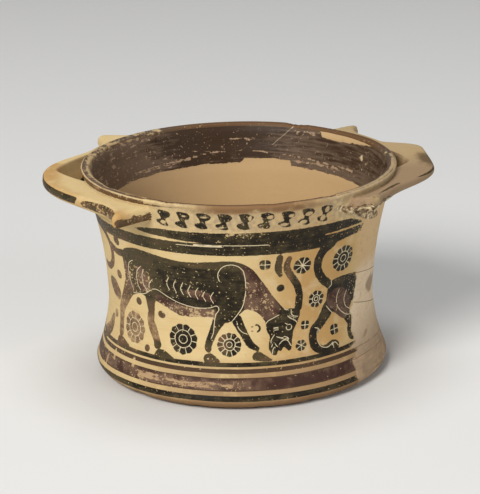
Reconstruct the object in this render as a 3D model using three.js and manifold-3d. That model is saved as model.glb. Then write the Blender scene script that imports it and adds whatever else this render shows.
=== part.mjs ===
// A concave-sided clay pyxis, a round box of Greek pottery: a thrown, spool-shaped body, open at the top,
// with two flat strap handles luted on below the rim. Each handle is a shallow bow between two spurs that
// turn back outwards, like a wide omega from above. The lid is lost, and the right handle's spurs are broken.
// It was fired as one piece, so it is one solid. Millimetres, +Z up, origin on the axis at the resting face.
import * as THREE from "three";
import { mergeVertices } from "three/addons/utils/BufferGeometryUtils.js";
import Module from "manifold-3d";

// Body: radii and heights of its outer face. The foot's edge turns in by FOOT_TUCK, over the height
// FOOT_ROUND.
const HEIGHT = 103.5;
const RIM_RADIUS = 78;
const WAIST_RADIUS = 66.3;
const WAIST_HEIGHT = 38;
const FOOT_RADIUS = 73.3;
const FOOT_HEIGHT = 5.5;
const FLARE_POWER = 1.85;
const FOOT_ROUND = 5;
const FOOT_TUCK = 9;

// Wall, lip, floor and the hollowed underside
const WALL = 5;
const LIP_ROUND = 1.5;
const FLOOR = 6.5;
const FLOOR_ROUND = 9;
const REST_WIDTH = 9;
const RECESS = 1.4;

// Handles: the strap's top, how much it rises towards its ends, its lean that sets the front lower, and its
// thickness at the wall and at the ends. It thins from the wall to its free edge.
const STRAP_TOP = HEIGHT - 3.2;
const END_RISE = 0.8;
const LEAN = 0.8;
const ROOT_RADIUS = 73;
const ROOT_THICK = 9.5;
const ROOT_ROUND = 1.5;
const END_THICK = 7.6;
const END_ROUND = 2.6;
const GAP_ROUND = 2;

// Each handle in plan: radii from the body's axis, and degrees from the handle's middle, rear above zero.
// `square` is how much the rear half of the bow is squared, `edge` the thickness at the bow's free edge,
// `gap` the reach of the gap between wall and strap, `slope` how far the gap's side stands in at its foot,
// and `swell` how much thicker the rear arm is beside the gap.
// A side has the strap's radius, the bow's flat and spread, the angle where its spur starts, the spur's tip,
// how far it turns out, its root on the wall, how fast the gap closes per degree, and how rough the end is.
const LEFT = {
  reach: 96.6,
  square: 0,
  edge: 5.8,
  gap: 89.3,
  gapAt: 6,
  slope: 5,
  swell: 4,
  front: { strap: 87.4, flat: 0, spread: 34, start: 37, tip: 48.5, rise: 8.5, root: 53, fall: 0.95, rough: 0 },
  rear: { strap: 83.2, flat: 4, spread: 29, start: 34, tip: 45, rise: 12.3, root: 59, fall: 0.57, rough: 0 },
};
const RIGHT = {
  reach: 96.6,
  square: 0.9,
  edge: 3.8,
  gap: 84,
  gapAt: 0,
  slope: 0,
  swell: 0,
  front: { strap: 83.2, flat: 5, spread: 33, start: 38, tip: 46.5, rise: 3, root: 57, fall: 1.1, rough: 1 },
  rear: { strap: 85.2, flat: 13, spread: 25, start: 35, tip: 45, rise: 11, root: 51, fall: 0.4, rough: 0.4 },
};

// Fineness of the facets
const TURN_STEPS = 72;
const WALL_STEPS = 11;
const ARC_STEPS = 3;
const STRAP_STEPS = 56;
const CORNER_STEPS = 2;

const wasm = await Module();
wasm.setup();

const radians = THREE.MathUtils.degToRad;

// The outer radius at a height: the waist, flaring by one power curve up to the rim and down to the foot.
function outerRadius(z) {
  const [end, far] = z > WAIST_HEIGHT ? [RIM_RADIUS, HEIGHT] : [FOOT_RADIUS, FOOT_HEIGHT];
  const share = (z - WAIST_HEIGHT) / (far - WAIST_HEIGHT);
  return WAIST_RADIUS + (end - WAIST_RADIUS) * share ** FLARE_POWER;
}

// Points of an arc in the profile's plane, angles in degrees. It is round unless a second radius is given.
function arc(centreR, centreZ, radius, from, to, tall = radius) {
  return Array.from({ length: ARC_STEPS + 1 }, (_, i) => {
    const a = radians(from + ((to - from) * i) / ARC_STEPS);
    return new THREE.Vector2(centreR + radius * Math.cos(a), centreZ + tall * Math.sin(a));
  });
}

// Points up or down the wall, at an inset from the outer face.
function wallLine(fromZ, toZ, inset) {
  return Array.from({ length: WALL_STEPS + 1 }, (_, i) => {
    const z = fromZ + ((toZ - fromZ) * i) / WALL_STEPS;
    return new THREE.Vector2(outerRadius(z) - inset, z);
  });
}

// The body's half section: from the middle of the underside, up the outside, over the lip, down the inside.
function bodyProfile() {
  const restOuter = FOOT_RADIUS - FOOT_TUCK;
  const restInner = restOuter - REST_WIDTH;
  const lipZ = HEIGHT - LIP_ROUND;
  const lipOuter = RIM_RADIUS - LIP_ROUND;
  const lipInner = RIM_RADIUS - WALL + LIP_ROUND;
  const cornerZ = FLOOR + FLOOR_ROUND;
  const cornerR = outerRadius(cornerZ) - WALL - FLOOR_ROUND;
  return [
    new THREE.Vector2(0, RECESS),
    new THREE.Vector2(restInner - RECESS, RECESS),
    new THREE.Vector2(restInner, 0),
    ...arc(restOuter, FOOT_ROUND, FOOT_TUCK, -90, 0, FOOT_ROUND),
    ...wallLine(FOOT_HEIGHT, lipZ - LIP_ROUND, 0),
    ...arc(lipOuter, lipZ, LIP_ROUND, 0, 90),
    ...arc(lipInner, lipZ, LIP_ROUND, 90, 180),
    ...wallLine(lipZ - LIP_ROUND, cornerZ + LIP_ROUND, WALL),
    ...arc(cornerR, cornerZ, FLOOR_ROUND, 0, -90),
    new THREE.Vector2(0, FLOOR),
  ];
}

function polar(radius, angle) {
  return new THREE.Vector2(radius * Math.cos(radians(angle)), radius * Math.sin(radians(angle)));
}

// The strap's free edge in plan: the bow, the plain strap beside it, and the spur that turns out.
function strapEdge(handle, angle) {
  const side = angle > 0 ? handle.rear : handle.front;
  const a = Math.abs(angle);
  const share = THREE.MathUtils.clamp((a - side.flat) / (side.spread - side.flat), 0, 1);
  const bow = Math.cos((Math.PI / 2) * share) ** 2;
  const spur = a > side.start ? ((a - side.start) / (side.tip - side.start)) ** 2 : 0;
  const square = angle > 0 ? handle.square : 0;
  const reach = handle.reach * (1 + square * (1 / Math.cos(radians(a)) - 1));
  return side.strap + (reach - side.strap) * bow + side.rise * spur;
}

// The strap's inner line in plan: round the gap, and elsewhere inside the wall.
function innerEdge(handle, angle) {
  const away = angle - handle.gapAt;
  const { fall } = away > 0 ? handle.rear : handle.front;
  return Math.max(ROOT_RADIUS, handle.gap - fall * (Math.hypot(away, GAP_ROUND) - GAP_ROUND));
}

// The strap's cross section, from the wall outwards, as points (along, down), drawn in by `inset` all round.
// Its lower inner corner stands in by `slope`.
function strapSection(length, inner, outer, inset, slope) {
  const thickAt = (along) => inner + ((outer - inner) * along) / length;
  const near = inset;
  const far = length - inset;
  const rootRound = Math.min(ROOT_ROUND, 0.45 * (inner - 2 * inset));
  const corners = [
    { along: near, down: inset, from: 180, round: rootRound },
    { along: far, down: inset, from: 270, round: 0.45 * outer - inset },
    { along: far, down: thickAt(far) - inset, from: 0, round: 0.45 * outer - inset },
    { along: near - slope, down: thickAt(near) - inset, from: 90, round: rootRound },
  ];
  return corners.flatMap(({ along, down, from, round }) => {
    const r = Math.max(round, 0.2);
    const midAlong = along > length / 2 ? along - r : along + r;
    const midDown = from >= 180 ? down + r : down - r;
    return Array.from({ length: CORNER_STEPS + 1 }, (_, i) => {
      const a = radians(from + (90 * i) / CORNER_STEPS);
      return new THREE.Vector2(midAlong + r * Math.cos(a), midDown + r * Math.sin(a));
    });
  });
}

// One section of a handle in place. `share` runs from -1 at the front end to 1 at the rear one, `back` is
// how far the section stands in from the end, and a broken end is uneven.
function strapRing(handle, mirror, share, back, inset) {
  const side = share > 0 ? handle.rear : handle.front;
  const angle = share * side.tip;
  const tip = polar(strapEdge(handle, angle), angle);
  const rootRadius = innerEdge(handle, share * side.root);
  const root = polar(rootRadius, share * side.root);
  const slope = Math.min(handle.slope, rootRadius - ROOT_RADIUS);
  const length = tip.distanceTo(root);
  const along = tip.clone().sub(root).normalize();
  const onward = new THREE.Vector2(-along.y, along.x).multiplyScalar(Math.sign(share));
  const swell = handle.swell * Math.sin(Math.PI * Math.max(share, 0));
  const inner = ROOT_THICK + (END_THICK - ROOT_THICK) * share ** 2 + swell;
  const outer = handle.edge + (END_THICK - handle.edge) * Math.abs(share) ** 3;
  const top = STRAP_TOP + END_RISE * Math.abs(share) ** 3;
  return strapSection(length, inner, outer, inset, slope).map((point, i) => {
    const ragged = Math.abs(share) === 1 ? side.rough * Math.sin(2.4 * (i + 1)) : 0;
    const plan = root.clone().addScaledVector(along, point.x).addScaledVector(onward, ragged - back);
    const lean = plan.y * Math.tan(radians(LEAN));
    return new THREE.Vector3(mirror * plan.x, plan.y, top - point.y + lean);
  });
}

// A whole handle as a closed geometry: sections from end to end, with rounded ends.
function handleGeometry(handle, mirror) {
  const rounded = [
    [0, END_ROUND],
    [END_ROUND * 0.3, END_ROUND * 0.3],
    [END_ROUND, 0],
  ];
  const between = Array.from({ length: STRAP_STEPS - 1 }, (_, i) => -1 + (2 * (i + 1)) / STRAP_STEPS);
  const rings = [
    ...rounded.map(([back, inset]) => strapRing(handle, mirror, -1, back, inset)),
    ...between.map((share) => strapRing(handle, mirror, share, 0, 0)),
    ...rounded.reverse().map(([back, inset]) => strapRing(handle, mirror, 1, back, inset)),
  ];
  const size = rings[0].length;
  const index = [];
  const face = (a, b, c) => index.push(...(mirror > 0 ? [a, c, b] : [a, b, c]));
  for (let ring = 0; ring + 1 < rings.length; ring++) {
    for (let i = 0; i < size; i++) {
      const a = ring * size + i;
      const b = ring * size + ((i + 1) % size);
      face(a, a + size, b);
      face(b, a + size, b + size);
    }
  }
  const last = (rings.length - 1) * size;
  for (let i = 1; i + 1 < size; i++) {
    face(0, i, i + 1);
    face(last, last + i + 1, last + i);
  }
  const geometry = new THREE.BufferGeometry().setFromPoints(rings.flat());
  return geometry.setIndex(index);
}

// A closed geometry as a solid: shared vertices merged, flat triangles at the axis left out.
function solidOf(geometry) {
  const bare = geometry.clone().deleteAttribute("normal").deleteAttribute("uv");
  const merged = mergeVertices(bare, 1e-4);
  const index = merged.index.array;
  const triangles = [];
  for (let i = 0; i < index.length; i += 3) {
    const [a, b, c] = index.slice(i, i + 3);
    if (a !== b && b !== c && c !== a) triangles.push(a, b, c);
  }
  return new wasm.Manifold(
    new wasm.Mesh({
      numProp: 3,
      vertProperties: merged.attributes.position.array,
      triVerts: new Uint32Array(triangles),
    }),
  );
}

function geometryOf(solid) {
  const { vertProperties, triVerts } = solid.getMesh();
  const geometry = new THREE.BufferGeometry();
  geometry.setAttribute("position", new THREE.BufferAttribute(vertProperties, 3));
  geometry.setIndex(new THREE.BufferAttribute(triVerts, 1));
  geometry.computeVertexNormals();
  return geometry;
}

const body = solidOf(new THREE.LatheGeometry(bodyProfile(), TURN_STEPS).rotateX(Math.PI / 2));
const vessel = body.add(solidOf(handleGeometry(RIGHT, 1))).add(solidOf(handleGeometry(LEFT, -1)));

const clay = new THREE.MeshStandardMaterial({ color: 0xc9a873, roughness: 0.7, metalness: 0 });
const mesh = new THREE.Mesh(geometryOf(vessel), clay);
mesh.name = "vessel";

const pyxis = new THREE.Group();
pyxis.add(mesh);

export default pyxis;
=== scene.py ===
"""Looks of the painted clay pyxis: one fine mesh for the whole vessel, its worn paint and a plain studio.

Sizes are in millimetres until a mesh is made. A place on the wall is (s, z): s is the distance round the body
at FRIEZE_RADIUS, to the right of the meridian that faces the camera, and z is the height.
"""
import math
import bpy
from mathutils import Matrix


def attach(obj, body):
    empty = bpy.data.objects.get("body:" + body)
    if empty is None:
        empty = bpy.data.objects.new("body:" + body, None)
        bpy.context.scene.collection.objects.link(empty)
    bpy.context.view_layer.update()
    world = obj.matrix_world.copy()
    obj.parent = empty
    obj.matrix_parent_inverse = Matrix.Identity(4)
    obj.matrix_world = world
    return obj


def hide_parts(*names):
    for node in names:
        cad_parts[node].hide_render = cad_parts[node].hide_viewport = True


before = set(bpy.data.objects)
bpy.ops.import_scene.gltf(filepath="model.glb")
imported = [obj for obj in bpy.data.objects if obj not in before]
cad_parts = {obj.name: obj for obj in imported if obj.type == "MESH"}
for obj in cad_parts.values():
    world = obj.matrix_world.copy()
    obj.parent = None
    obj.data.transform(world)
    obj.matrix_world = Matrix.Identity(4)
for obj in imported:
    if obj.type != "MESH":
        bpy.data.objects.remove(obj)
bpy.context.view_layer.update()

from types import SimpleNamespace

import bmesh
import bpy
import numpy as np
from mathutils import Matrix, Vector

MM = 0.001

# Body, the same driving sizes as the solid
HEIGHT = 103.5
RIM_RADIUS = 78.0
WAIST_RADIUS = 66.3
WAIST_HEIGHT = 38.0
FOOT_RADIUS = 73.3
FOOT_HEIGHT = 5.5
FLARE_POWER = 1.85
FOOT_ROUND = 5.0
FOOT_TUCK = 9.0
WALL = 5.0
LIP_ROUND = 1.5
LIP_FOOT = HEIGHT - LIP_ROUND
FLOOR = 6.5
FLOOR_ROUND = 9.0
REST_WIDTH = 9.0
RECESS = 1.4
REST_INSET = 4.0
UNDER_SHARES = (0.3, 0.65, 1.0)
FLOOR_SHARES = (0.7, 0.35)
FOOT_STEPS = 6
ROUND_STEPS = 4
SHARP_FROM = 50

# Handles, the same as the solid: radii from the axis, degrees from the handle's middle, rear above zero
STRAP_TOP = HEIGHT - 3.2
END_RISE = 0.8
LEAN_SLOPE = math.tan(math.radians(0.8))
ROOT_RADIUS = 73.0
ROOT_THICK = 9.5
ROOT_ROUND = 1.5
END_THICK = 7.6
END_ROUND = 2.6
END_SHARE = 0.05
GAP_ROUND = 2.0
BREAK_WAVES = [(1.1, 0.9, 0), (2.3, -1.7, math.pi / 2)]
HALF = ("strap", "flat", "spread", "start", "tip", "rise", "root", "fall", "rough")
LEFT = {
    "reach": 96.6, "square": 0, "edge": 5.8, "gap": 89.3, "gap_at": 6, "slope": 5, "swell": 4,
    "front": dict(zip(HALF, (87.4, 0, 34, 37, 48.5, 8.5, 53, 0.95, 0))),
    "rear": dict(zip(HALF, (83.2, 4, 29, 34, 45, 12.3, 59, 0.57, 0))),
}
RIGHT = {
    "reach": 96.6, "square": 0.9, "edge": 3.8, "gap": 84.0, "gap_at": 0, "slope": 0, "swell": 0,
    "front": dict(zip(HALF, (83.2, 5, 33, 38, 46.5, 3, 57, 1.1, 1))),
    "rear": dict(zip(HALF, (85.2, 13, 25, 35, 45, 11, 51, 0.4, 0.4))),
}

# A handle's mesh: sections along it, points round one, and the turns of its rounded ends
SECTIONS = 125
CORNER_STEPS = 5
SIDE_SPLITS = (9, 1, 7, 2)
CORNER_SHARE = 0.45
CORNER_LEAST = 0.2
END_TURNS = (90, 67, 45, 22, 0)
END_CLOSING = 0.8

# Seams of handles and wall: the heights where they lie, how close to the wall a seam's point is, how far its
# neighbour stands off, which places near it are softened, how much and how often
SEAM_FROM = 88.0
SEAM_TO = 103.0
SEAM_TOUCH = 0.08
SEAM_APART = 0.3
SEAM_BAND = (-0.2, 3.0)
SEAM_SOFT = 1.8
SEAM_EASE = 0.5
SEAM_ROUNDS = 5

# The photograph's view
VIEW_AZIMUTH = -5.0
VIEW_ELEVATION = 18.2
VIEW_DISTANCE = 1000.0
VIEW_AIM = 58.6
VIEW_ROLL = -0.99
LENS = 145.75
SENSOR = 36.0

# The wall unrolled
FRIEZE_RADIUS = 66.0
ROUND = 2 * math.pi * FRIEZE_RADIUS
FRONT_ANGLE = math.radians(-90 + VIEW_AZIMUTH)

# Mesh fineness: (from s, to s, step) round the body and (from z, to z, step) up it
COLUMN_RUNS = [(-100, 67, 0.62), (67, 130, 1.6), (130, ROUND - 100, 1.2)]
ROW_RUNS = [(FOOT_HEIGHT, 19, 1.5), (19, 79, 0.7), (79, 91, 0.8), (91, 100.5, 0.68), (100.5, 102, 0.75)]
INNER_RUNS = [(100.5, 78, 1.25), (78, FLOOR + FLOOR_ROUND, 5)]


# Shapes of the body and the handles

def outer_radius(z):
    z = np.asarray(z, float)
    above = z > WAIST_HEIGHT
    far = np.where(above, HEIGHT, FOOT_HEIGHT)
    share = (z - WAIST_HEIGHT) / (far - WAIST_HEIGHT)
    reach = np.where(above, RIM_RADIUS, FOOT_RADIUS) - WAIST_RADIUS
    return WAIST_RADIUS + reach * np.clip(share, 0, 1) ** FLARE_POWER


def runs(parts):
    """The points of several runs, each divided evenly, without the last run's end."""
    points = []
    for start, end, step in parts:
        count = max(1, round(abs(end - start) / step))
        points.append(start + (end - start) * np.arange(count) / count)
    return np.concatenate(points)


def arc(across, up, radius, start, end, steps=12, tall=None):
    """Points of an arc about a middle, round unless a second radius is given."""
    tall = tall or radius
    angles = np.radians(np.linspace(start, end, steps + 1))
    return [(across + radius * math.cos(a), up + tall * math.sin(a)) for a in angles]


def body_profile():
    """The half section: from the underside's middle, up the outside, over the lip, to the floor's middle."""
    rest_outer = FOOT_RADIUS - FOOT_TUCK
    rest_inner = rest_outer - REST_WIDTH
    corner_z = FLOOR + FLOOR_ROUND
    corner_r = float(outer_radius(corner_z)) - WALL - FLOOR_ROUND
    hollow_edge = rest_inner - RECESS
    profile = [(hollow_edge * share, RECESS) for share in UNDER_SHARES]
    profile += [(rest_inner, 0), (rest_inner + REST_INSET, 0)]
    profile += arc(rest_outer, FOOT_ROUND, FOOT_TUCK, -90, 0, FOOT_STEPS, FOOT_ROUND)
    profile += [(float(outer_radius(z)), z) for z in runs(ROW_RUNS)]
    profile += arc(RIM_RADIUS - LIP_ROUND, LIP_FOOT, LIP_ROUND, 0, 90, ROUND_STEPS)
    profile += [(RIM_RADIUS - WALL / 2, HEIGHT)]
    profile += arc(RIM_RADIUS - WALL + LIP_ROUND, LIP_FOOT, LIP_ROUND, 90, 180, ROUND_STEPS)
    profile += [(float(outer_radius(z)) - WALL, z) for z in runs(INNER_RUNS)]
    profile += arc(corner_r, corner_z, FLOOR_ROUND, 0, -90, ROUND_STEPS)
    profile += [(corner_r * share, FLOOR) for share in FLOOR_SHARES]
    return np.array(profile)


def new_object(name, data):
    obj = bpy.data.objects.new(name, data)
    bpy.context.scene.collection.objects.link(obj)
    return obj


def closed_tube(name, rings, start, end):
    """A solid from rings of points, each closed on itself, with a point over the first ring and the last."""
    columns = len(rings[0])
    first = len(rings) * columns
    top = first - columns
    around = [(c, (c + 1) % columns) for c in range(columns)]
    faces = []
    for low in range(0, top, columns):
        high = low + columns
        faces += [(low + c, low + n, high + n, high + c) for c, n in around]
    for c, n in around:
        faces.append((first, n, c))
        faces.append((first + 1, top + c, top + n))
    mesh = bpy.data.meshes.new(name)
    mesh.from_pydata(np.vstack([*rings, start, end]) * MM, [], faces)
    mesh.validate()
    return new_object(name, mesh)


def make_body():
    angles = FRONT_ANGLE + runs(COLUMN_RUNS) / FRIEZE_RADIUS
    round_one = np.stack([np.cos(angles), np.sin(angles), np.zeros(len(angles))], axis=1)
    rings = [round_one * radius + (0, 0, z) for radius, z in body_profile()]
    return closed_tube("pyxis_body", rings, (0, 0, RECESS), (0, 0, FLOOR))


def half(handle, where):
    return handle["rear" if where > 0 else "front"]


def strap_edge(handle, angle):
    """The strap's free edge in plan: the bow, the plain strap beside it, and the spur that turns out."""
    side = half(handle, angle)
    a = abs(angle)
    share = min(1, max(0, (a - side["flat"]) / (side["spread"] - side["flat"])))
    bulge = math.cos(math.pi / 2 * share) ** 2
    spur = ((a - side["start"]) / (side["tip"] - side["start"])) ** 2 if a > side["start"] else 0
    square = handle["square"] if angle > 0 else 0
    reach = handle["reach"] * (1 + square * (1 / math.cos(math.radians(a)) - 1))
    return side["strap"] + (reach - side["strap"]) * bulge + side["rise"] * spur


def inner_edge(handle, angle):
    """The strap's inner line in plan: round the gap, and elsewhere inside the wall."""
    away = angle - handle["gap_at"]
    fall = half(handle, away)["fall"]
    return max(ROOT_RADIUS, handle["gap"] - fall * (math.hypot(away, GAP_ROUND) - GAP_ROUND))


def strap_height(angle, handle, y):
    """The height of the strap's top at an angle from the handle's middle."""
    tip = np.where(angle > 0, handle["rear"]["tip"], handle["front"]["tip"])
    return STRAP_TOP + END_RISE * np.clip(np.abs(angle) / tip, 0, 1) ** 3 + y * LEAN_SLOPE


def ripples(a, b, parts):
    """Waves over two directions, one for each (rate along a, rate along b, shift)."""
    return [np.sin(by_a * a + by_b * b + shift) for by_a, by_b, shift in parts]


def polar(radius, angle):
    turn = math.radians(angle)
    return radius * np.array([math.cos(turn), math.sin(turn)])


def strap_section(length, inner, outer, inset, slope):
    """The cross section from the wall outwards as (along, down) points, drawn in by `inset` all round."""
    far = length - inset

    def thick(along):
        return inner + (outer - inner) * along / length

    edge = max(CORNER_SHARE * outer - inset, CORNER_LEAST)
    root = min(ROOT_ROUND, CORNER_SHARE * (inner - 2 * inset))
    corners = [
        (inset, inset, 180, root), (far, inset, 270, edge),
        (far, thick(far) - inset, 0, edge), (inset - slope, thick(inset) - inset, 90, root),
    ]
    rings = []
    for along, down, start, r in corners:
        middle_along = along - r if along > length / 2 else along + r
        middle_down = down + r if start >= 180 else down - r
        rings.append(arc(middle_along, middle_down, r, start, start + 90, CORNER_STEPS))
    points = []
    for ring, following, splits in zip(rings, rings[1:] + rings[:1], SIDE_SPLITS):
        points += ring
        a, b = np.array(ring[-1]), np.array(following[0])
        points += [tuple(a + (b - a) * i / splits) for i in range(1, splits)]
    return points


def strap_ring(handle, mirror, share, back, inset):
    """One section in place. `share` runs from -1 at the front end to 1 at the rear one."""
    side = half(handle, share)
    angle = share * side["tip"]
    tip = polar(strap_edge(handle, angle), angle)
    root_radius = inner_edge(handle, share * side["root"])
    root = polar(root_radius, share * side["root"])
    slope = min(handle["slope"], root_radius - ROOT_RADIUS)
    length = float(np.hypot(*(tip - root)))
    along = (tip - root) / length
    onward = np.array([-along[1], along[0]]) * math.copysign(1, share)
    swell = handle["swell"] * math.sin(math.pi * max(share, 0))
    inner = ROOT_THICK + (END_THICK - ROOT_THICK) * share ** 2 + swell
    outer = handle["edge"] + (END_THICK - handle["edge"]) * abs(share) ** 3
    top = STRAP_TOP + END_RISE * abs(share) ** 3
    rough = side["rough"] if abs(share) == 1 else 0
    ring = []
    for a, down in strap_section(length, inner, outer, inset, slope):
        ragged = rough * np.prod(ripples(a, down, BREAK_WAVES))
        plan = root + along * a + onward * (ragged - back)
        ring.append((mirror * plan[0], plan[1], top - down + plan[1] * LEAN_SLOPE))
    return ring


def make_strap(name, handle, mirror):
    """A whole handle: sections from end to end, with rounded ends closed over a middle point."""
    shares = np.linspace(-1 + END_SHARE, 1 - END_SHARE, SECTIONS)
    turns = [math.radians(a) for a in END_TURNS]
    rounded = [(END_ROUND * (1 - math.sin(a)), END_ROUND * (1 - math.cos(a))) for a in turns]
    ends = [(0, END_ROUND + END_CLOSING)] + rounded
    rings = [strap_ring(handle, mirror, -1, *end) for end in ends]
    rings += [strap_ring(handle, mirror, share, 0, 0) for share in shares]
    rings += [strap_ring(handle, mirror, 1, *end) for end in ends[::-1]]
    strap = closed_tube(name, rings, np.mean(rings[0], axis=0), np.mean(rings[-1], axis=0))
    outward = bmesh.new()
    outward.from_mesh(strap.data)
    bmesh.ops.recalc_face_normals(outward, faces=outward.faces)
    outward.to_mesh(strap.data)
    outward.free()
    return strap


def vectors(collection, name):
    values = np.empty((len(collection), 3))
    collection.foreach_get(name, values.ravel())
    return values


def make_vessel():
    """One closed mesh of the body and both handles, which run into it."""
    vessel = make_body()
    for strap in (make_strap("right", RIGHT, 1), make_strap("left", LEFT, -1)):
        union = vessel.modifiers.new("join", "BOOLEAN")
        union.operation = "UNION"
        union.solver = "MANIFOLD"
        union.object = strap
        bpy.context.view_layer.update()
        evaluated = vessel.evaluated_get(bpy.context.evaluated_depsgraph_get())
        joined = bpy.data.meshes.new_from_object(evaluated)
        vessel.modifiers.clear()
        vessel.data = joined
        bpy.data.objects.remove(strap)
    vessel.name = "pyxis"
    vessel.data.name = "pyxis"
    return vessel


def smooth_seams(vessel):
    """Softens the join of handles and wall, as clay is pressed in where a handle is set on."""
    work = bmesh.new()
    work.from_mesh(vessel.data)
    work.verts.ensure_lookup_table()
    at = np.array([v.co for v in work.verts]) / MM
    radius = np.hypot(at[:, 0], at[:, 1])
    out = radius - outer_radius(at[:, 2])
    level = (at[:, 2] > SEAM_FROM) & (at[:, 2] < SEAM_TO)
    ends = np.array([(e.verts[0].index, e.verts[1].index) for e in work.edges])
    apart = np.abs(out[ends[:, 0]] - out[ends[:, 1]]) > SEAM_APART
    touching = np.abs(out[ends]).min(1) < SEAM_TOUCH
    seam = np.unique(ends[apart & touching & level[ends].all(1)])
    seam = seam[np.abs(out[seam]) < SEAM_TOUCH]
    near = np.flatnonzero(level & (out > SEAM_BAND[0]) & (out < SEAM_BAND[1]))
    close = np.zeros(len(near), bool)
    for point in at[seam[::2]]:
        close |= ((at[near] - point) ** 2).sum(1) < SEAM_SOFT ** 2
    verts = [work.verts[i] for i in near[close]]
    for _ in range(SEAM_ROUNDS):
        bmesh.ops.smooth_vert(
            work, verts=verts, factor=SEAM_EASE, use_axis_x=True, use_axis_y=True, use_axis_z=True,
        )
    work.to_mesh(vessel.data)
    work.free()


# Painted shapes on the wall, worked out as distances in millimetres, above 0 inside the shape

FAR = 9.0
STROKE_REACH = 3.0
NO_ROSETTE = -99.0
PAIR_START = -98.0


def curve(points, closed=False, steps=4):
    """A smooth line through a few points. Values after s and z, such as a half width, are carried along."""
    p = np.array(points, float)
    p = np.vstack([p[-1:], p, p[:2]]) if closed else np.vstack([2 * p[0] - p[1], p, 2 * p[-1] - p[-2]])
    line = []
    for a, b, c, d in zip(p, p[1:], p[2:], p[3:]):
        for t in np.arange(steps) / steps:
            line.append(b + 0.5 * t * (c - a + t * (2 * a - 5 * b + 4 * c - d + t * (3 * (b - c) + d - a))))
    if not closed:
        line.append(p[-2])
    return np.array(line)


def nearby(at, line, reach):
    """The places round a line: their numbers in the list, s and z."""
    s, z = at
    low = line[:, :2].min(0) - reach
    high = line[:, :2].max(0) + reach
    pick = np.flatnonzero((s > low[0]) & (s < high[0]) & (z > low[1]) & (z < high[1]))
    return pick, s[pick], z[pick]


def to_segment(s, z, a, b):
    """Distance from places to one straight piece, and the share of the way along it."""
    step = b[:2] - a[:2]
    share = np.clip(((s - a[0]) * step[0] + (z - a[1]) * step[1]) / max(step @ step, 1e-9), 0, 1)
    return np.hypot(s - a[0] - step[0] * share, z - a[1] - step[1] * share), share


def limb(at, points):
    """A long shape along a line of (s, z, half width)."""
    line = curve(points)
    pick, s, z = nearby(at, line, FAR)
    best = np.full(len(pick), -FAR)
    for a, b in zip(line, line[1:]):
        gap, share = to_segment(s, z, a, b)
        best = np.maximum(best, a[2] + (b[2] - a[2]) * share - gap)
    field = np.full(len(at[0]), -FAR)
    field[pick] = best
    return field


def patch(at, points, smooth=True):
    """A closed shape through the points."""
    line = curve(points, closed=True) if smooth else np.array(points, float)
    pick, s, z = nearby(at, line, FAR)
    gap = np.full(len(pick), FAR)
    inside = np.zeros(len(pick), bool)
    for a, b in zip(line, np.roll(line, -1, axis=0)):
        gap = np.minimum(gap, to_segment(s, z, a, b)[0])
        if a[1] != b[1]:
            crossing = (a[1] > z) != (b[1] > z)
            inside ^= crossing & (s < a[0] + (z - a[1]) * (b[0] - a[0]) / (b[1] - a[1]))
    field = np.full(len(at[0]), -FAR)
    field[pick] = np.where(inside, gap, -gap)
    return field


def strokes(at, lines):
    """For thin lines: the distance with a sign for the side, and the plain distance."""
    near = np.full(len(at[0]), FAR)
    side = np.full(len(at[0]), FAR)
    for points in lines:
        line = curve(points)
        pick, s, z = nearby(at, line, STROKE_REACH)
        for a, b in zip(line, line[1:]):
            gap = to_segment(s, z, a, b)[0]
            turn = (b[0] - a[0]) * (z - a[1]) - (b[1] - a[1]) * (s - a[0])
            closer = gap < near[pick]
            chosen = pick[closer]
            near[chosen] = gap[closer]
            side[chosen] = np.copysign(gap[closer], turn[closer])
    return side, near


def eased(at, value, boxes):
    """A value that changes softly inside boxes given as (s from, s to, z from, z to, soft edge, value)."""
    s, z = at
    field = np.full(len(s), float(value))
    for s0, s1, z0, z1, soft, inside in boxes:
        depth = np.minimum(np.minimum(s - s0, s1 - s), np.minimum(z - z0, z1 - z))
        field += (inside - field) * np.clip(depth / soft + 0.5, 0, 1)
    return field


# The frieze: a bull and a great cat, which come twice round the wall
BULL = [
    (-62.5, 70.5), (-60, 73.2), (-54, 75), (-47, 75.2), (-32, 73.4), (-24, 73), (-8, 74.5), (-2, 74.3),
    (2.5, 72.4), (6.5, 68.7), (14, 57), (18, 51.5), (20.8, 48.4), (24.5, 48.2), (28.4, 46.5), (27.4, 41),
    (25.2, 37), (24.1, 30.5), (23.6, 28.2), (22.3, 27.4), (20, 29.6), (18.7, 27.6), (17.3, 28.3),
    (16.5, 26.4), (14.8, 26), (13.2, 28), (12.7, 31), (13.3, 35), (11.8, 38.5), (11.6, 41.6), (9, 46.3),
    (5, 48.9), (1.5, 49.2), (-4, 43.8), (-8.5, 42.8), (-12.5, 45.3), (-28, 44.6), (-32, 45.6), (-42, 49.6),
    (-48, 50), (-52, 51.3), (-58, 49.5), (-63, 46), (-66, 47.5), (-63.8, 54), (-63.3, 66),
]
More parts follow.
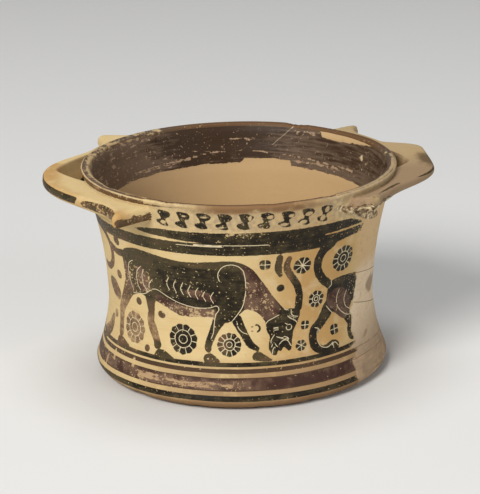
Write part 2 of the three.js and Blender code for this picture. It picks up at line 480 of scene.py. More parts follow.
BULL_LIMBS = [
    [(-61, 53, 4), (-66, 45.5, 3.2), (-69.8, 39.5, 2.6), (-70.3, 33, 2.1), (-69.8, 28.5, 2.2)],
    [
        (-46.5, 51, 3.2), (-46.3, 44, 2.1), (-47, 39, 2.3), (-45.5, 35, 2.6), (-43.3, 30.5, 2),
        (-42.5, 28.3, 2.2),
    ],
    [(-10.5, 44, 3), (-12.6, 39.5, 2.2), (-14.6, 35, 1.9), (-15.8, 31, 1.7), (-15.8, 29.5, 1.6)],
    [(-2.2, 44.5, 2.6), (0, 39.5, 2.1), (2.3, 35, 1.8), (4.2, 31.8, 1.7), (7.2, 29.8, 1.2)],
    [(27.5, 48, 1.9), (28, 54, 1.9), (26.5, 60, 1.8), (23, 65.5, 1.7), (21, 70, 1.6), (22, 74.3, 1.3)],
    [(18.3, 66, 1), (17, 70, 1.7), (17.6, 75.3, 1.5)],
    [(-62.5, 70, 1.9), (-67, 69.5, 1.9), (-72.5, 71, 2.2)],
]
HOOVES = [
    [(-72, 26), (-69, 26.5), (-65, 25.4), (-61, 23), (-72, 22.6)],
    [(-43.5, 24.5), (-42, 26.3), (-38.5, 26.3), (-35, 24.6), (-33, 22.8), (-43.5, 22.8)],
    [(-17.6, 26.6), (-14.5, 27.6), (-12.6, 26.3), (-10, 23.4), (-17.3, 23.2)],
    [(5, 26.8), (7.8, 28.4), (12, 25.6), (14.3, 23.6), (9, 23.6), (5.3, 24.6)],
]
TAIL_LOOP = [(*point, 1.8) for point in arc(-84, 68, 10.6, -105, 80)]
CAT = [
    (44.5, 57), (48, 58.6), (56, 58.8), (66, 57.5), (76, 58), (84, 60.5), (90, 64.5), (94, 70), (99, 73),
    (105, 69), (105.5, 63), (100, 59), (97, 54), (93, 50), (88, 47.5), (70, 47), (62, 43), (58, 36),
    (54, 37), (48, 41.5), (43, 44), (43.5, 51),
]
CAT_LIMBS = [
    [(44.5, 56.5, 2.2), (40, 60.5, 2.1), (37, 66, 2.2), (37, 71.5, 2.3), (39.5, 76, 2.6), (43, 78.5, 3)],
    [
        (45, 44.5, 4), (40.5, 38.5, 2.8), (36.5, 35, 2.6), (35.3, 31, 2.2), (36.5, 27, 2.3),
        (40.5, 24.6, 1.9), (46.5, 25.5, 2.4), (48.5, 25.2, 2.2),
    ],
    [(58.5, 37, 3), (60, 33, 1.8), (59, 29.5, 1.5), (60, 26.5, 1.6), (63, 25.6, 1.5)],
    [(88, 50, 4), (90, 40, 2.6), (92, 31, 2.2), (93, 26.5, 2.2), (97.5, 25, 2.1)],
    [(93, 52, 3.4), (98.5, 43, 2.4), (101.5, 33, 2), (102.5, 26.5, 2), (106, 25, 1.8)],
]
PURPLE = [
    [
        (1.5, 72.5), (4, 71), (7, 67), (12, 60), (17, 52), (18.5, 49), (17.5, 46), (12.5, 43), (9, 46.3),
        (5, 49), (1.5, 50), (2, 60), (1.8, 65), (0, 70),
    ],
    [(-62, 66), (-59.8, 66), (-59.6, 58), (-58, 53), (-62, 53)],
    [(-54, 64), (-50, 66.5), (-46.5, 60), (-47, 55), (-52.5, 53)],
    [(44, 50.5), (47.5, 52.8), (53, 53), (58, 49), (61, 42), (58, 36.5), (54, 37.3), (48, 42), (44.3, 46)],
    [(90, 62), (94, 66), (96, 60), (93, 54), (88, 54)],
    [(-42, 53.5), (-30, 50.6), (-14, 49.4), (-12.5, 45), (-28, 44), (-41, 49)],
    [(-26, 58), (-20, 58.6), (-13, 56.5), (-12.5, 53), (-19, 54), (-25, 55.5)],
]

# Cut lines. The ribs come in a row: the first one's s, top and foot, each with the step to the next
RIBS = 7
RIB_STEPS = [(-34.4, 3.6), (63.5, -0.92), (57.4, -0.75)]
CUTS = [
    arc(-4.2, 66.8, 6, 205, 20) + [(2.2, 64), (2.2, 59), (1.5, 54), (0.2, 50), (-4, 44), (-6, 42.8)],
    [
        (-58, 50.5), (-50, 52), (-46, 54.5), (-42, 56), (-36, 53.5), (-30, 51.2), (-22, 49.7), (-15, 50),
        (-11.5, 51.3), (-10.3, 49.5), (-12, 46.8),
    ],
    [(-55.5, 68), (-58.5, 66), (-59.8, 62), (-59.5, 57), (-58, 52)],
    [(-50.5, 66), (-53, 63.5), (-54.3, 60), (-54, 56), (-52.5, 53)],
    [(-49, 64.5), (-50.3, 61), (-50, 57), (-48, 54)],
    [(-44, 60.5), (-46, 58.5), (-46.5, 56)],
    [(17.8, 45.6), (14.8, 44.2), (12.5, 43), (11.6, 41.7)],
    [(20.3, 49), (21, 48), (22.1, 47.7)],
    [(24, 47.4), (24.1, 45.7), (25.1, 44.2), (27.2, 43.6)],
    [(22.5, 44.4), (23.5, 43.2), (25.3, 42.2), (26.5, 41.2), (27.1, 40.3)],
    [(21.3, 40.9), (21.9, 40)],
    [(15.7, 39.3), (17.2, 39.3)],
    [(15.8, 38.1), (17.3, 38.1)],
    [(15.5, 35.7), (14, 33.5), (13.8, 32.2)],
    [(17, 34.7), (18.1, 34.2), (19.6, 34)],
    [(20.6, 34.4), (22, 33.9), (22.6, 33.2)],
    [(18.1, 31.2), (19.3, 32.4), (20.6, 32.8), (22, 32.4), (23, 30.9), (23.5, 29.8)],
    [(14.2, 30.4), (14.8, 31.7), (15.5, 31.9), (16.1, 31), (16.7, 30.2)],
    [(15.2, 29.7), (14.6, 28.5), (14.3, 27)],
    [(-12, 46.5), (-12.8, 42), (-13.2, 38), (-14.3, 34.8)],
    [(-2, 43.3), (-1.6, 40.5), (0.5, 38), (2.5, 37.2)],
    [(43.5, 45.5), (48.5, 40), (54, 36.5)],
    [(51.5, 52), (50, 48), (51, 43.5), (54, 40), (58, 37.5), (61, 37)],
    [(57, 50), (55.5, 46), (57, 42), (60, 40)],
    [(45.7, 58), (46, 56), (44.5, 54.8)],
    [(37, 36), (39, 35), (39.5, 33)],
    [(38, 34), (37.7, 30), (39.5, 26.5), (43, 25.3), (46, 26.2), (48.3, 26.6), (49.8, 25)],
    [(47, 24.6), (46.4, 26.4)],
    [(86, 60), (89, 56), (89, 51), (86, 47.5)],
    arc(101, 67.5, 1.3, 0, 360),
    arc(22.9, 38.8, 1.4, 0, 360),
]
for rib in range(RIBS):
    place, rib_top, rib_foot = (first + step * rib for first, step in RIB_STEPS)
    CUTS.append([(place, rib_top), (place - 1.3, (rib_top + rib_foot) / 2), (place - 0.2, rib_foot)])

# Filling ornament: (s, z, radius, petals, radius of its cut ring or 0, turn in degrees)
ROSETTES = [
    (-28.5, 33.2, 7.4, 11, 4.2, 8), (-58.5, 33.2, 7.6, 11, 4.2, 0), (-5.9, 32, 5.8, 12, 2.8, 0),
    (28.7, 69.6, 4.4, 8, 0, 10), (52, 68.2, 6.7, 12, 3.6, 5), (37.2, 50.6, 4.4, 8, 2, 12),
    (11, 72.2, 2.9, 4, 0, 45), (31.3, 38.5, 2.5, 4, 0, 40), (28.8, 29, 2.9, 6, 0, 0),
    (48.5, 32.8, 2.9, 4, 0, 48), (70, 68, 5, 8, 2, 0), (82, 71, 2.6, 4, 0, 45), (74, 34, 6, 10, 2.6, 0),
    (85, 29, 2.4, 4, 0, 45),
]
DOTS = [
    (18.5, 59.3, 1.9), (-40, 43.4, 2), (-48.7, 25.5, 1.7), (-69.5, 56.8, 2.3), (-77, 35, 2), (-54.5, 47, 2),
    (-66, 75.4, 2.4), (80, 40, 1.8),
]
STRAY_LIMBS = [
    [(-118, 101.6, 1.3), (-80, 101.6, 1.3), (-40, 101.8, 1), (-22, 102.2, 0.5)],
    [(-80, 49.5, 3.4), (-77, 48, 4.6), (-74, 46, 3.6)],
    [(-81, 32, 2), (-82.5, 29, 3), (-85, 26, 3.2), (-92, 22, 3)],
    [(*point, 0.5) for point in arc(6.9, 39.7, 1.8, -70, 95, 6)],
    [(4.6, 40.6, 0.35), (5.4, 40.5, 0.35)],
    [(4.7, 38.4, 0.3), (5.3, 38.4, 0.3)],
]

# Bands: stripes that run level, as (z from, z to, paint)
BANDS = [
    (5.5, 7.9, "black"), (9.7, 10.2, "brown"), (10.2, 15.4, "purple"), (15.4, 15.9, "brown"),
    (18.0, 18.9, "brown"), (19.2, 20.0, "brown"), (20.9, 23.0, "black"), (102.2, 104.8, "brown"),
]
STRIPE = (77.4, 83.4)
STRIPE_RISE = [(36, 76.2, 1), (46, 76.4, 1.8), (54, 76.2, 3), (64, 76, 3.6), (72, 76, 3.8)]
UPPER_STRIPE = [
    (-50, 86.6), (-44, 88.2), (-36, 89.1), (0, 89.4), (46, 89.4), (53, 88.6), (58, 86.6), (62, 84.8),
    (62, 84.2), (50, 84.4), (40, 84), (36, 83), (-14, 83), (-30, 84.3), (-42, 85.3),
]
STRIPE_GAPS = [
    [(-50, 85.3, 0.7), (-40, 84.8, 0.55), (-30, 84.2, 0.45), (-16, 83.6, 0.2)],
    [(40, 83.9, 0.1), (48, 84.2, 0.22), (64, 84.2, 0.35)],
]
STRIPE_LINES = [[(-28, 82), (-8, 82.1)], [(-20, 82.9), (0, 82.8), (12, 82.6)]]

# The row of two-lobed leaves under the rim: one leaf's outline about its stem, and where paint is lost inside
# one, as (leaf, s from the stem, z, half length, half height)
LEAF = [
    (-2.2, 99.2), (0.4, 99.6), (2.9, 98.9), (3.6, 97.4), (2.7, 95.9), (1.2, 95.3), (1.3, 93.6), (2, 91.6),
    (0.4, 91.1), (-1.9, 91.7), (-3.4, 92.8), (-3.2, 94.1), (-2.1, 94.4), (-1, 94.9), (-1.7, 97),
]
LEAF_STEP = 8.6
LEAVES = 9
FIRST_LEAF = -32.3
LEAF_LOSSES = [
    (0, -0.3, 93.1, 1.3, 1), (1, 1, 97.4, 1.4, 0.5), (2, 0.6, 97.6, 1.7, 0.5), (3, -1, 92.4, 1.6, 0.5),
    (4, 2, 97.2, 0.8, 1.1), (5, 1.6, 97.2, 1.3, 1), (5, -2.2, 93.2, 0.7, 0.5), (6, 1.8, 97.1, 1.3, 0.8),
    (6, -0.9, 92.7, 1.9, 0.8), (7, 1, 96.8, 1.7, 1), (7, -0.9, 92.8, 1.7, 1), (8, 0.9, 97.3, 1.1, 1.7),
    (8, -0.5, 93.4, 1.2, 1.6),
]

# What was lost and filled again with plain clay, and the broken place under the right front spur
FILL = [
    (58, -4), (58, 4), (56.5, 7), (59.5, 9), (57, 12), (60, 16), (62.5, 18), (58.5, 20), (62, 22.5),
    (61, 27), (61.5, 33), (60.5, 38), (62, 43), (63.5, 48), (65, 54), (64, 59), (62, 64), (61.5, 72),
    (61, 78), (63.5, 83), (64, 86), (72, 90), (122, 90), (128, 76), (121, 60), (127, 40), (122, 20),
    (126, -4),
]
FILL_FADE = 7.0
SCAR = [
    (43, 98), (47.5, 96.5), (60, 92.5), (70, 88.5), (76, 85.5), (78, 82.5), (71, 83), (64, 85), (56, 89),
    (50, 92), (44, 95),
]
PLASTER = [(40, 102), (45, 99.5), (54, 92.5), (59, 86), (47.5, 88.5), (41, 94.5)]
CRACKS = [
    [(58, 58), (72, 55.5), (98, 50)], [(64, 41.8), (75, 38.5), (98, 32)],
    [(58.5, 14.6), (72, 14.4), (98, 12)], [(66, 6.6), (87, 4.8), (98, 4.2)],
    [(60, 19.4), (76, 18.6), (98, 16)],
]
BLOT = [(76, 47.5), (79, 43.5), (85, 41), (91, 43), (97, 48), (90, 49), (83, 50.5)]
BLOT_LINE = [(68, 22, 0.4), (72, 22.6, 0.9), (75.5, 24, 0.4)]

# Wear, 0 for whole paint to 1 for nearly none, and thinness, 0 for dense black to 1 for thin brown. Each has
# a plain value and boxes of (s from, s to, z from, z to, soft edge, value)
PLAIN_WEAR = 0.2
WEAR = [
    (-100, -60, 10, 100, 14, 0.34), (-90, -54, 9, 16, 6, 0.45), (-4, 62, 9.9, 15.8, 6, 0.05),
    (-64, 4, 10.6, 15, 1, 0.45), (-58, -4, 11, 14.6, 1, 0.6), (-52, -12, 11.4, 14.2, 1, 0.72),
    (-73.4, -71.6, 14.8, 19.6, 0.7, 1), (-57.3, -55.7, 14.8, 19.6, 0.7, 1), (-80, -78.2, 8, 15, 0.8, 0.95),
    (-100, -30, 5, 8.5, 10, 0.38), (-42, -12, 43.5, 50, 2, 0.6), (-34, -14, 56, 62, 3, 0.36),
    (2, 17, 46, 62, 5, 0.5), (-66, -44, 52, 66, 4, 0.48), (-36, 0, 86, 90, 3, 0.34),
    (-6, 12, 87, 90, 2, 0.55), (-40, 42, 91, 100, 2, 0.4), (44, 60, 38, 58, 4, 0.24),
    (-120, 120, 101.4, 106, 1, 0.46), (40, 64, 78, 90, 5, 0.34), (46, 58, 62, 74, 3, 0.36),
    (-170, -98, 101.8, 106, 2, 0.62), (-116, -40, 103.9, 105.2, 0.3, 0.72),
    (-116, -40, 101.8, 103.4, 0.4, 0.42), (-40, 42, 101.8, 103.4, 0.4, 0.9),
    (-40, 42, 103.4, 105.2, 0.4, 0.1), (42, 112, 101.8, 105.2, 0.4, 0.3),
    (42, 112, 102.7, 103.9, 0.4, 0.95),
]
PLAIN_THIN = 0.12
THIN = [
    (-110, -53, 20, 88, 8, 0.9), (-52, -38, 26, 50, 4, 1.05), (-110, -50, 25, 46, 4, 1.1),
    (-13, -6, 26, 38, 4, 0.75), (-20, -8, 22, 33, 3, 0.55), (16, 20, 62, 77, 2, 0.55),
    (20, 24, 62, 77, 3, 0.9), (-64, -40, 50, 76, 10, 0.4), (-45, 12, 70, 76, 2, 0.45),
    (-100, -30, 77, 90, 16, 0.45), (-60, -42, 42, 49, 3, 0.7), (-48, -33, 22.9, 30, 2, 0.5),
    (4, 15, 23, 29, 2, 0.5), (-50, -46, 24, 28, 1, 0.7), (-43, -37, 41, 46, 1, 0.6),
    (-100, -60, 0, 23, 12, 0.5), (-120, -20, 100, 106, 1, 0.85),
]

# How far the foot's bands hang below level: everywhere, and more with the square of s to each side, as (side,
# rate, where it is most, where it is gone). Higher up it fades out
SAG = 0.2
SAG_SIDES = [(-1, 0.0003, 86, 125), (1, 0.0001, 60, 100)]
SAG_HEIGHTS = (40, 22)

# Inside: a painted band with a plain patch lost at the rim, one at its lower edge, scraped lines, an old join
# and small pale spots as (s, z, radius). Here s runs from 0 to ROUND, so that the far wall is in one piece
LIP_END = 105.3
INSIDE_EDGE = 83.4
INSIDE_DROOP = 0.0005
INSIDE_LOST = [
    [
        (124, 105), (124, 102.6), (129, 101.8), (137, 100.6), (144, 99.8), (151, 99), (158, 98.8),
        (164, 99.4), (166, 102), (167, 105),
    ],
    [(179, 80), (180, 85.4), (188, 86), (197, 85.8), (205, 85.6), (206.5, 80)],
]
INSIDE_JOIN = [[(180.5, 102.5), (184, 98.8), (187.5, 95.5), (190, 93)]]
INSIDE_SCRAPES = [
    [(139, 86.4), (153, 86.4), (166, 87.5), (175, 87.8), (189, 87.2)], [(150, 85), (163, 85.4), (176, 85.4)],
    [(193, 89), (206, 90), (220, 89.2), (234, 87.4)], [(233, 86.8), (247, 86), (263, 85)],
    [(168, 100.6), (178, 99.6)], [(200, 95.6), (214, 95)],
]
SCRAPE_WIDE = 0.8

# The band's wear: plain, more to the left, to the right and along scrapes. Its thinness: plain, more to the
# sides and low down
INSIDE_WEAR = (0.36, 0.16, 0.04, 0.3)
INSIDE_THIN = (0.1, 0.75, 0.2)
INSIDE_SPOTS = [
    (134.5, 94.8, 1.4), (129.5, 93.4, 1.1), (127, 91.2, 0.7), (132, 89.6, 0.6), (148, 92, 0.5),
    (215, 91.4, 0.9),
]

# What a place belongs to: the share of the wall's thickness where the inside starts, the handles' distance
# from the wall and lowest height, the end of the left front spur by its y and normal, and slack for edges
INSIDE_SHARE = 0.55
HANDLE_OFF = 0.3
HANDLE_FROM = 85.0
SPUR_Y = -50.0
SPUR_FACING = (-0.3, -0.45)
UNDER_SLACK = (0.5, 0.05)
LIP_SLACK = 0.01

# Paint on the handles, unrolled: along the strap from its middle, front below zero, and across it, from the
# free edge inwards below zero and down the edge above zero. HANDLE_TO keeps the lip's band off them
HANDLE_MM_PER_DEGREE = 1.65
HANDLE_TO = 100.0
LEFT_PAINT = [
    [(-40.5, 0.4), (-28, 0.2), (-10, 0.2), (8, 0.8), (24, 2), (40, 3), (40, 9), (-41, 9), (-39.6, 4)],
    [(-76, -0.4), (-66, -1), (-56, -0.6), (-47, 0.8), (-44.5, 3), (-49, 4.8), (-60, 5.4), (-76, 6)],
]
RIGHT_PAINT = [
    [(-75, -1.2), (-66, -1.8), (-58, -2.2), (-46, -2.2), (-45, -1), (-56, -0.4), (-66, 0.4), (-74, 0.8)],
    [(-32, -0.7), (-26, -1), (-20, -0.7), (-12, -0.4), (-11, 0.9), (-20, 0.9), (-27, 0.3)],
]
WORN_ARM = -42.0

# Wear and thinness of the right handle's paint, the left spur's, the worn front's and the rest's
HANDLE_WEAR = (0.36, 0.42, 0.52, 0.34)
HANDLE_THIN = (0.5, 0.75, 0.6, 0.3)

# The spurs' ends: clay bare above the paint, and the uneven line between, as waves of (height, rate, shift).
# On the broken stub, the half width of a dark line of painted shade along its crack, and a pit painted
# dark as its shade, by middle and size
SPUR_BARE = 3.0
SPUR_WAVES = [(0.6, 0.9, 0), (0.4, 2.3, 1)]
STUB_WHOLE = 4.2
STUB_WAVES = [(0.7, 0.6, 0), (0.4, 1.9, 0)]
CRACK_SHADE_HALF = 0.6
PIT_SHADE = (58.5, -62.2, 94.0)
PIT_SHADE_SIZE = 1.7

# Zones of tone: heights, distances s, both as (start, full), and the least share beside those distances
ZONES = {
    "dirt": ((26, 16), [(-65, -15)], 0.2), "dull": ((88, 91), [(-60, -10)], 0.3),
    "stain": ((98.6, 100.2), [(-24, -10), (40, 24)], 0),
    "rim_right": ((99.5, 101.5), [(30, 60), (130, 115)], 0),
    "rim_left": ((LIP_FOOT, LIP_FOOT + 0.5), [(-40, -60), (-185, -165)], 0),
}

# Tones of the clay: the warm side of the front, which is weaker high up and on plaster, the left strap's warm
# edge, an ochre spot on the stub, and soot on the right bow
WARM_AT = 34.0
WARM_WIDE = 27.0
WARM_LOSS = 0.6
WARM_EDGE = 0.8
WARM_EDGE_TO = 20.0
OCHRE_SPOT = (60.5, -61.0, 99.0)
OCHRE_WIDE = 8.0
SOOT_ARM = 1.5
SOOT_RADIUS = 94.5
SOOT_SIZE = (12.0, 5.5)

# Chips: (s, z, half length, half height, depth)
CHIPS = [
    (180, 103.5, 5, 2.5, 0.9), (160, 103.5, 24, 2, 0.5), (-30, 103.6, 4, 1.2, 0.5), (14, 103.6, 5, 1, 0.5),
    (-66, 103.4, 5, 1.4, 0.6), (40, 103.6, 4, 1.2, 0.6), (-120, 103.5, 6, 1.5, 0.6),
    (90, 103.5, 5, 1.4, 0.5), (32, 3, 3.4, 3, 0.8), (66, 7, 4, 4, 0.7), (-50, 2, 5, 2, 0.5),
    (-20, 1.5, 4, 1.6, 0.4), (8, 2, 3, 2, 0.4), (54, 92, 5, 4, 0.8), (61, 87, 4, 2.5, 0.6),
    (130, 4, 5, 3, 0.6), (-130, 3, 6, 2.5, 0.5), (200, 3, 4, 3, 0.6),
]
CHIP_WAVES = [(5.1, 3.7, 0), (2.3, -4.1, 1)]
CHIP_FADE = 0.7

# Uneven turning, and the rings inside: their rate by height, and how far and how often they waver
UNEVEN_DEPTH = 0.1
UNEVEN_WAVES = [(3, 0.09, 1), (7, -0.21, 0)]
RING_DEPTH = 0.16
RING_RATE = 0.62
RING_WAVER = 0.8
RING_TURNS = 2
RINGS_FROM = 16.0


def rise(values, start, full):
    """0 up to start and 1 from full on, straight between them. Start may be the higher of the two."""
    return np.clip((values - start) / (full - start), 0, 1)


def waves(values, parts):
    return sum(height * np.sin(rate * values + shift) for height, rate, shift in parts)


def wrapped(s):
    """A distance round the wall, brought to the turn that has the front in its middle."""
    return (s + ROUND / 2) % ROUND - ROUND / 2


def places(mesh):
    """Every vertex: its (s, z), how deep it lies behind the outer face, and what it belongs to."""
    at = vectors(mesh.vertices, "co") / MM
    x, y, z = at.T
    normal = vectors(mesh.vertex_normals, "vector")
    radius = np.hypot(x, y)
    depth = np.where(z > LIP_FOOT - LIP_SLACK, RIM_RADIUS, outer_radius(z)) - radius
    under = (z < RECESS + UNDER_SLACK[1]) & (radius < FOOT_RADIUS - FOOT_TUCK + UNDER_SLACK[0])
    inside = (depth > WALL * INSIDE_SHARE) & (z > FOOT_HEIGHT)
    handle = (depth < -HANDLE_OFF) & (z > HANDLE_FROM)
    end = (normal[:, 0] > SPUR_FACING[0]) & (normal[:, 1] < SPUR_FACING[1])
    turn = np.degrees(np.arctan2(y, np.abs(x)))
    return SimpleNamespace(
        at=at, x=x, y=y, z=z, normal=normal, radius=radius, depth=depth, under=under, inside=inside,
        handle=handle, wall=~(under | inside | handle), lip=z > LIP_FOOT, right=x > 0, turn=turn,
        s=wrapped((np.arctan2(y, x) - FRONT_ANGLE) * FRIEZE_RADIUS), arm=turn * HANDLE_MM_PER_DEGREE,
        spur=(x < 0) & (y < SPUR_Y) & end,
    )


def sag(s, z):
    """How much lower than level the foot's bands, and the feet that stand on them, were drawn at a place."""
    deep = SAG
    for side, rate, most, gone in SAG_SIDES:
        deep = deep + rate * np.clip(side * s, 0, most) ** 2 * rise(side * s, gone, most)
    return deep * rise(z, *SAG_HEIGHTS)


def rosette_fields(s, z):
    """For each place, the nearest rosette: how far inside it, the offset from its middle, and its numbers."""
    names = ("rosette", "rosette_s", "rosette_z", "rosette_size", "rosette_petals", "rosette_ring")
    fields = {name: np.zeros(len(s)) for name in names}
    fields["rosette"] += NO_ROSETTE
    for s0, z0, radius, petals, ring, turn in ROSETTES:
        ds, dz = s - s0, z - z0
        inward = radius - np.hypot(ds, dz)
        nearer = inward > fields["rosette"]
        c, w = math.cos(math.radians(turn)), math.sin(math.radians(turn))
        values = (inward, c * ds + w * dz, c * dz - w * ds, radius, petals, ring)
        for name, value in zip(names, values):
            fields[name] = np.where(nearer, value, fields[name])
    return fields


def paint_wall(s, z):
    """The outside: distances for dark paint, purple and cut lines, from the figures and ornaments."""
    local = (s - PAIR_START) % (ROUND / 2) + PAIR_START
    at = (local, z)
    dark = np.minimum(z - STRIPE[0], STRIPE[1] - z)
    dark = np.maximum(dark, patch(at, UPPER_STRIPE, smooth=False))
    for gap in [STRIPE_RISE] + STRIPE_GAPS:
        dark = np.minimum(dark, -limb(at, gap))
    stems = [FIRST_LEAF + LEAF_STEP * leaf for leaf in range(LEAVES)]
    leaves = [[(stem + ds, up) for ds, up in LEAF] for stem in stems]
    shapes = [patch(at, points) for points in [BULL, CAT] + HOOVES + leaves]
    shapes += [limb(at, points) for points in BULL_LIMBS + CAT_LIMBS + STRAY_LIMBS + [TAIL_LOOP]]
    shapes += [radius - np.hypot(local - s0, z - z0) for s0, z0, radius in DOTS]
    dark = np.maximum.reduce([dark] + shapes)
    for leaf, ds, up, wide, tall in LEAF_LOSSES:
        off = np.hypot((local - stems[leaf] - ds) / wide, (z - up) / tall)
        dark = np.minimum(dark, (off - 1) * min(wide, tall))
    purple = np.maximum.reduce([patch(at, points) for points in PURPLE])
    cut, cut_near = strokes(at, CUTS + STRIPE_LINES)
    return dict(dark=dark, purple=purple, cut=cut, cut_near=cut_near) | rosette_fields(local, z)


def paint_inside(v, fields):
    """The band inside. The round is cut opposite to the outside, because its far wall is the one in view."""
    inside, x, z = v.inside, v.x[v.inside], v.z[v.inside]
    far_wall = (v.s[inside] % ROUND, z)
    band = z - INSIDE_EDGE + INSIDE_DROOP * x ** 2
    for points in INSIDE_LOST:
        band = np.minimum(band, -patch(far_wall, points, smooth=False))
    fields["dark"][inside] = band
    fields["cut"][inside], fields["cut_near"][inside] = strokes(far_wall, INSIDE_JOIN)
    for s0, z0, size in INSIDE_SPOTS:
        spot = size - np.hypot(far_wall[0] - s0, z - z0)
        fields["scar"][inside] = np.maximum(fields["scar"][inside], spot)
    scraped = np.exp(-((strokes(far_wall, INSIDE_SCRAPES)[1] / SCRAPE_WIDE) ** 2))
    rightward = rise(x, 10, 30)
    plain, left, right, along = INSIDE_WEAR
    scoured = plain + left * rise(x, 0, -60) + right * rightward + along * scraped
    past_lip = fields["height"][inside] > LIP_END
    fields["wear"][inside] = np.where(past_lip, scoured, fields["wear"][inside])
    plain, beside, low = INSIDE_THIN
    sideways = np.maximum(rise(x, -20, -54), 0.5 * rightward)
    fields["thin"][inside] = plain + beside * sideways + low * rise(z, 90, 85)


def paint_handles(v, fields):
    """Paint on the handles' narrow outer edges and spur ends, and painted shade in the stub's crack and pit.
    """
    for shape, patches, side in ((LEFT, LEFT_PAINT, ~v.right), (RIGHT, RIGHT_PAINT, v.right)):
        mine = v.handle & side
        x, y, turn = v.x[mine], v.y[mine], v.turn[mine]
        inward = np.array([strap_edge(shape, a) for a in turn]) - v.radius[mine]
        down = strap_height(turn, shape, y) - v.z[mine]
        across = np.where(v.normal[mine, 2] > -0.5, down - np.maximum(inward, 0), -FAR)
        painted = np.full(len(turn), -FAR)
        for points in patches:
            painted = np.maximum(painted, patch((v.arm[mine], across), points))
        if shape is LEFT:
            painted = np.where(v.spur[mine], down - SPUR_BARE + waves(x, SPUR_WAVES), painted)
        else:
            broken = (v.normal[mine, 1] < -0.3) & (y < -45)
            below = down - STUB_WHOLE + waves(x, STUB_WAVES)
            # Painted shade: the pit and a dark line along the stub's crack are shade painted dark
            pit_shade = PIT_SHADE_SIZE - np.linalg.norm(v.at[mine] - PIT_SHADE, axis=1)
            fields["scar"][mine] = np.minimum(np.where(broken, below, -FAR), -pit_shade)
            painted = np.maximum(np.where(broken, CRACK_SHADE_HALF - np.abs(below), painted), pit_shade)
        fields["dark"][mine] = painted
    parts = [v.right, v.spur, v.arm < WORN_ARM]
    for name, values in (("wear", HANDLE_WEAR), ("thin", HANDLE_THIN)):
        fields[name][v.handle] = np.select(parts, values[:3], values[3])[v.handle]


def zone(v, name):
    """How far places lie in a zone of tone, from 0 to 1."""
    heights, spans, least = ZONES[name]
    along = np.prod([rise(v.s, *span) for span in spans], axis=0)
    return rise(v.z, *heights) * np.maximum(along, least)


def clay_tones(v, fields):
    """Firing, dirt, soot and painted shade: where the clay is warmer, darker, duller or greyer."""
    s, z, wall, handle, right = v.s, v.z, v.wall, v.handle, v.right
    ochre = np.exp(-((v.at - OCHRE_SPOT) ** 2).sum(1) / OCHRE_WIDE)
    warm = np.exp(-((s - WARM_AT) / WARM_WIDE) ** 2) * ~v.inside + 2 * ochre
    warm *= 1 - WARM_LOSS * rise(z, 86, 92)
    warm[wall] -= WARM_LOSS * rise(patch((s[wall], z[wall]), PLASTER), -1.5, 1.5)
    warm += WARM_EDGE * rise(v.radius, 84, 92) * (handle & ~right & (v.arm < WARM_EDGE_TO))
    fields["warm"] = warm
    fields["dirt"] = zone(v, "dirt") * wall
    fields["dull"] = zone(v, "dull") * wall
    hollow = v.inside & ~v.lip
    fields["stain"] = zone(v, "stain") * ~(hollow | handle)

    facing_in = v.normal[:, 0] * v.x + v.normal[:, 1] * v.y < -0.2 * v.radius
    rim = np.maximum(zone(v, "rim_right"), zone(v, "rim_left"))
    # Painted shade in the grey: the hollow inside darker towards the left; the rim's grey is its own tone
    off_handle = np.where(hollow, 0.4 * rise(v.x, 10, -40), rim)
    # Grey on the right handle is its own tone; on the left one, painted shade on faces towards the gap
    on_handle = np.where(right, np.clip(0.75 - v.arm / 60, 0.6, 1), 0.35 * facing_in)
    fields["grey"] = np.where(handle, on_handle, off_handle) * (1 - ochre)
    sooty = np.hypot((v.arm - SOOT_ARM) / SOOT_SIZE[0], (v.radius - SOOT_RADIUS) / SOOT_SIZE[1])
    # Painted shade: handle faces towards their gaps darker near the wall; elsewhere soot on the right bow
    gap_shade = np.clip(1.2 + v.depth / np.where(right, 9, 3), 0, 1)
    fields["soot"] = np.where(facing_in, gap_shade, np.exp(-(sooty ** 2)) * right) * handle


def paint(mesh):
    """Writes the painting as vertex attributes."""
    v = places(mesh)
    count = len(v.s)

    # Height along the outside, carried on over the lip and down inside so that it never jumps
    level = np.where(v.inside, 2 * HEIGHT - v.z, v.z)
    level[v.lip] = LIP_FOOT + 2 * LIP_ROUND / WALL * v.depth[v.lip]
    level[v.handle] = np.minimum(v.z[v.handle], HANDLE_TO)
    level[v.under] = -1
    wall = v.wall
    place = (v.s[wall], v.z[wall])
    sunk = sag(*place)
    level[wall] += sunk
    on_wall = paint_wall(place[0], place[1] + sunk)
    on_wall["fill"] = patch(place, FILL, smooth=False)
    on_wall["scar"] = patch(place, SCAR)
    on_wall["blot"] = np.maximum(patch(place, BLOT), limb(place, BLOT_LINE))
    on_wall["crack"], on_wall["crack_near"] = strokes(place, CRACKS)
    fields = {}
    for name, values in on_wall.items():
        apart = NO_ROSETTE if "rosette" in name else FAR if "cut" in name or "crack" in name else -FAR
        fields[name] = np.full(count, float(apart))
        fields[name][wall] = values
    fields["height"] = level
    near_fill = rise(fields["fill"], -FILL_FADE, 0) * (fields["fill"] < 0) * wall
    fields["wear"] = eased((v.s, level), PLAIN_WEAR, WEAR) + 0.3 * near_fill
    fields["thin"] = eased((v.s, level), PLAIN_THIN, THIN)
    fields["inside"] = v.inside.astype(float)
    fields["handle"] = v.handle.astype(float)
    paint_inside(v, fields)
    paint_handles(v, fields)
    clay_tones(v, fields)
    for name, values in fields.items():
        mesh.attributes.new(name, "FLOAT", "POINT").data.foreach_set("value", values.astype(np.float32))


